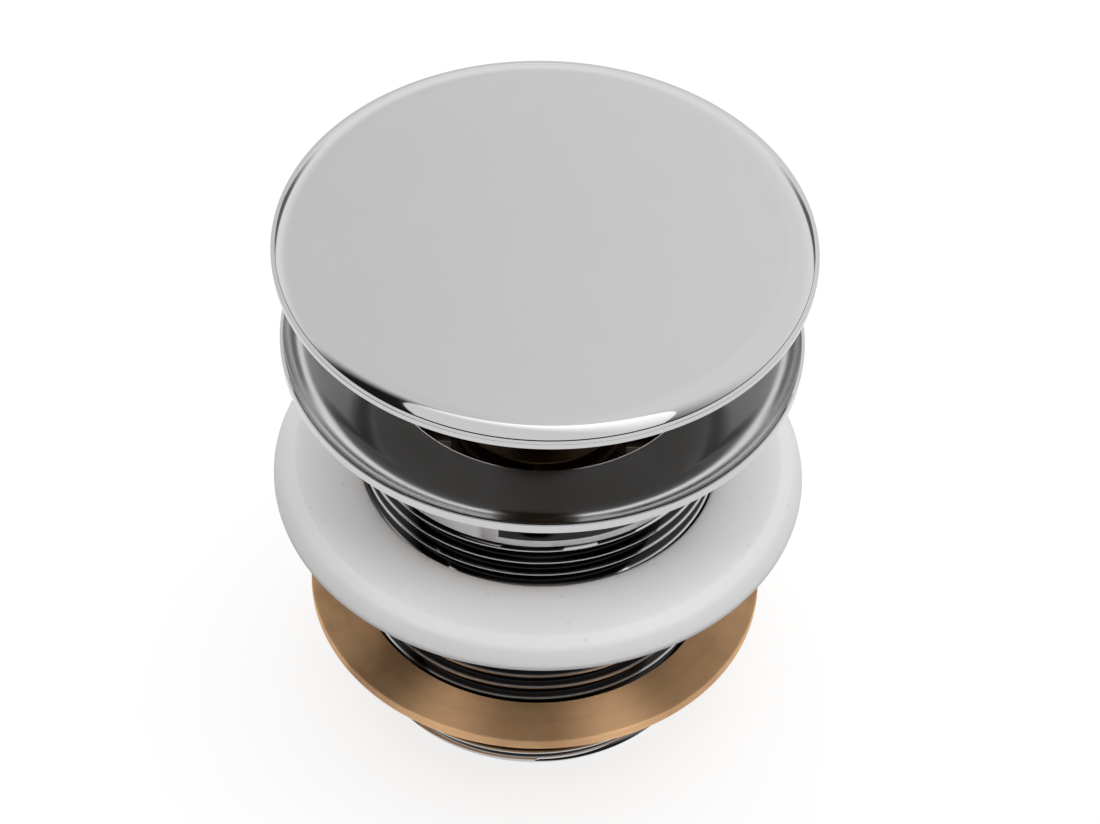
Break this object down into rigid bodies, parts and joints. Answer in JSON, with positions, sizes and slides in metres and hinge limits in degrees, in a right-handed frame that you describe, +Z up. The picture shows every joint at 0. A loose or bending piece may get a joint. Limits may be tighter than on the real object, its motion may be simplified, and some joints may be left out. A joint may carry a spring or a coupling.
{
  "type": "bath waste",
  "caption": "Click-clack bath waste: full-cover domed cap on a sprung cartridge, dished chrome flange, windowed neck, threaded tail, loose conical washer and thin backnut.",
  "frame": {"origin": "centre of the tail's lower end, on the common axis", "axes": "+Z up along the axis, from the tail to the cap; -Y towards the picture's viewer, +X to the right"},
  "size_m": [0.0718, 0.0718, 0.0792],
  "materials": {
    "chrome": "polished chrome plate on brass",
    "brass": "turned satin brass",
    "steel": "bright drawn stainless wire and rod",
    "washer_plastic": "milky translucent soft plastic, satin",
    "black_rubber": "matt moulded rubber",
    "white_plastic": "moulded acetal",
    "red_fibre": "pressed fibre"
  },
  "bodies": {
    "waste": {"waste_body": "chrome", "strainer_spider": "brass", "cartridge_housing": "brass", "cartridge_gasket": "red_fibre", "guide_sleeve": "white_plastic", "retaining_clip": "steel", "return_spring": "steel", "cartridge_base": "brass", "cartridge_locknut": "brass"},
    "plunger_rod": {"plunger": "brass", "plunger_oring": "black_rubber"},
    "cap_head": {"cap": "chrome", "cap_stud": "steel", "cap_locknut": "brass", "seal_carrier": "white_plastic", "plug_seal": "black_rubber", "seal_retainer": "white_plastic"},
    "rotor": {"index_rotor": "white_plastic"},
    "washer": {"backing_washer": "washer_plastic"},
    "nut": {"backnut": "brass"}
  },
  "joints": [
    {"name": "cap_push", "type": "slide", "parent": "waste", "child": "plunger_rod", "axis": [0, 0, 1], "range_m": [-0.012, 0], "stiffness_N_per_m": 400, "springref_m": 0.01, "deforming": ["return_spring"]},
    {"name": "cap_spin", "type": "hinge", "parent": "plunger_rod", "child": "cap_head", "pos_m": [0, 0, 0.0731], "axis": [0, 0, 1], "continuous": true},
    {"name": "rotor_index", "type": "hinge", "parent": "plunger_rod", "child": "rotor", "pos_m": [0, 0, 0.0364], "axis": [0, 0, 1], "range_deg": [0, 46]},
    {"name": "washer_slide", "type": "slide", "parent": "waste", "child": "washer", "axis": [0, 0, 1], "range_m": [-0.009, 0.016]},
    {"name": "backnut_run", "type": "slide", "parent": "waste", "child": "nut", "axis": [0, 0, 1], "range_m": [-0.0085, 0.01]}
  ],
  "couplings": [
    {"joint": "rotor_index", "follows": "cap_push", "rad_per_m": -65.4}
  ]
}
